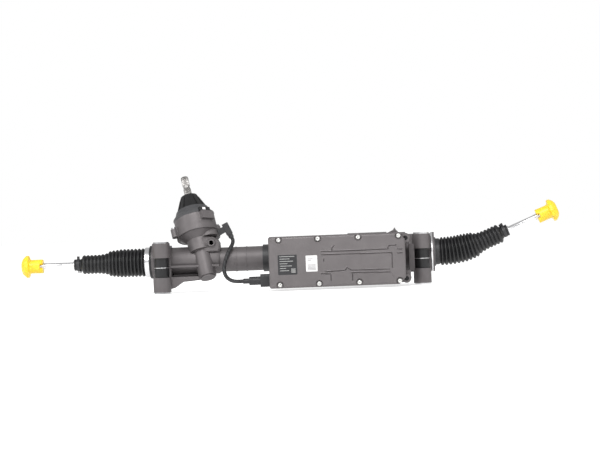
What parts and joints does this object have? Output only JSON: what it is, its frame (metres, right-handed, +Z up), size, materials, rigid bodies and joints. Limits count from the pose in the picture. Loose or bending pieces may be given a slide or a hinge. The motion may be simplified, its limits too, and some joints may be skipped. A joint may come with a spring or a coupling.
{
  "type": "power steering gear",
  "caption": "Rack and pinion power steering gear with a belt-driven ball screw unit, tilted input tower, bushed mounting eyes, bellows and capped tie rods.",
  "frame": {"origin": "middle of the left mounting eye's bolt hole", "axes": "+X along the rack to the right end, +Z up along the mounting bolts, +Y from the controller cover to the back"},
  "size_m": [1.1578, 0.1978, 0.2505],
  "materials": {
    "cast": "satin",
    "cover": "satin",
    "black_plastic": "satin",
    "rubber": "matte",
    "steel": "satin",
    "bright_steel": "polished",
    "board": "satin",
    "winding": "satin",
    "seat": "satin",
    "yellow_plastic": "satin"
  },
  "bodies": {
    "gear_case": {"pinion_housing": "cast", "housing_sleeve": "black_plastic", "drive_housing": "cast", "motor_case": "cast", "controller_cover": "cover", "cover_screws": "bright_steel", "circuit_board": "board", "left_mount_bushes": "rubber", "left_mount_sleeves": "bright_steel", "right_mount_bushes": "rubber", "right_mount_sleeves": "bright_steel", "sensor_housing": "cast", "sensor_screws": "steel", "tower_collar": "black_plastic", "tower_boot": "rubber", "input_bush": "steel", "torque_sensor": "board", "upper_bearing": "steel", "lower_bearing": "steel", "bottom_plug": "steel", "yoke": "steel", "yoke_spring": "steel", "yoke_plug": "steel", "rack_bush": "black_plastic", "nut_bearing": "steel", "drive_belt": "rubber", "motor_stator": "winding", "motor_bearings": "steel", "sensor_connector": "black_plastic", "sensor_cable": "rubber", "controller_plug": "black_plastic", "left_boot_clamp": "bright_steel", "right_boot_clamp": "bright_steel"},
    "rack": {"rack": "bright_steel", "left_socket": "steel", "right_socket": "steel"},
    "pinion": {"pinion": "steel", "torsion_bar": "steel", "sensor_ring": "black_plastic"},
    "input_shaft": {"input_shaft": "bright_steel"},
    "ball_nut": {"ball_nut": "steel", "nut_balls": "bright_steel", "driven_pulley": "steel"},
    "rotor": {"motor_rotor": "steel", "drive_pulley": "steel"},
    "left_ball": {"left_ball_seat": "seat"},
    "left_rod": {"left_tie_rod": "bright_steel", "left_small_clamp": "steel"},
    "left_bellows": {"left_boot": "rubber"},
    "left_cap": {"left_cap": "yellow_plastic"},
    "right_ball": {"right_ball_seat": "seat"},
    "right_rod": {"right_tie_rod": "bright_steel", "right_small_clamp": "steel"},
    "right_bellows": {"right_boot": "rubber"},
    "right_cap": {"right_cap": "yellow_plastic"}
  },
  "joints": [
    {"name": "motor_turn", "type": "hinge", "parent": "gear_case", "child": "rotor", "pos_m": [0.414, -0.042, 0.004], "axis": [1, 0, 0], "range_deg": [-9880, 9880]},
    {"name": "nut_turn", "type": "hinge", "parent": "gear_case", "child": "ball_nut", "pos_m": [0.447, 0.044, 0.012], "axis": [1, 0, 0], "range_deg": [-3720, 3720]},
    {"name": "rack_slide", "type": "slide", "parent": "gear_case", "child": "rack", "axis": [1, 0, 0], "range_m": [-0.0725, 0.0725], "deforming": ["left_boot", "right_boot"]},
    {"name": "pinion_turn", "type": "hinge", "parent": "gear_case", "child": "pinion", "pos_m": [0.087, 0.02675, 0.01897], "axis": [-0.2164, 0.3657, 0.9052], "range_deg": [-455, 455]},
    {"name": "input_twist", "type": "hinge", "parent": "pinion", "child": "input_shaft", "pos_m": [0.05453, 0.08161, 0.15475], "axis": [-0.2164, 0.3657, 0.9052], "range_deg": [-4, 4], "stiffness_Nm_per_rad": 1},
    {"name": "left_rod_up_down", "type": "hinge", "parent": "rack", "child": "left_ball", "pos_m": [-0.085, 0.044, 0.012], "axis": [0, 1, 0], "range_deg": [-20, 20]},
    {"name": "left_rod_fore_aft", "type": "hinge", "parent": "left_ball", "child": "left_rod", "pos_m": [-0.085, 0.044, 0.012], "axis": [0, 0, 1], "range_deg": [-15, 15]},
    {"name": "left_boot_gather", "type": "slide", "parent": "left_rod", "child": "left_bellows", "axis": [1, 0, 0], "range_m": [-0.052, 0.052]},
    {"name": "left_cap_pull", "type": "slide", "parent": "left_rod", "child": "left_cap", "axis": [-1, 0, 0], "range_m": [0, 0.045]},
    {"name": "right_rod_up_down", "type": "hinge", "parent": "rack", "child": "right_ball", "pos_m": [0.639, 0.044, 0.012], "axis": [0, 1, 0], "range_deg": [-2, 24]},
    {"name": "right_rod_fore_aft", "type": "hinge", "parent": "right_ball", "child": "right_rod", "pos_m": [0.639, 0.044, 0.012], "axis": [-0.3746, 0, 0.9272], "range_deg": [-12, 12]},
    {"name": "right_boot_gather", "type": "slide", "parent": "right_rod", "child": "right_bellows", "axis": [1, 0, 0], "range_m": [-0.052, 0.052]},
    {"name": "right_cap_pull", "type": "slide", "parent": "right_rod", "child": "right_cap", "axis": [0.9272, 0, 0.3746], "range_m": [0, 0.045]}
  ],
  "couplings": [
    {"joint": "nut_turn", "follows": "motor_turn", "ratio": 0.375},
    {"joint": "rack_slide", "follows": "motor_turn", "m_per_rad": -0.00041778},
    {"joint": "pinion_turn", "follows": "motor_turn", "ratio": 0.04532},
    {"joint": "left_boot_gather", "follows": "motor_turn", "m_per_rad": 0.00029245},
    {"joint": "right_boot_gather", "follows": "motor_turn", "m_per_rad": 0.00029245}
  ]
}
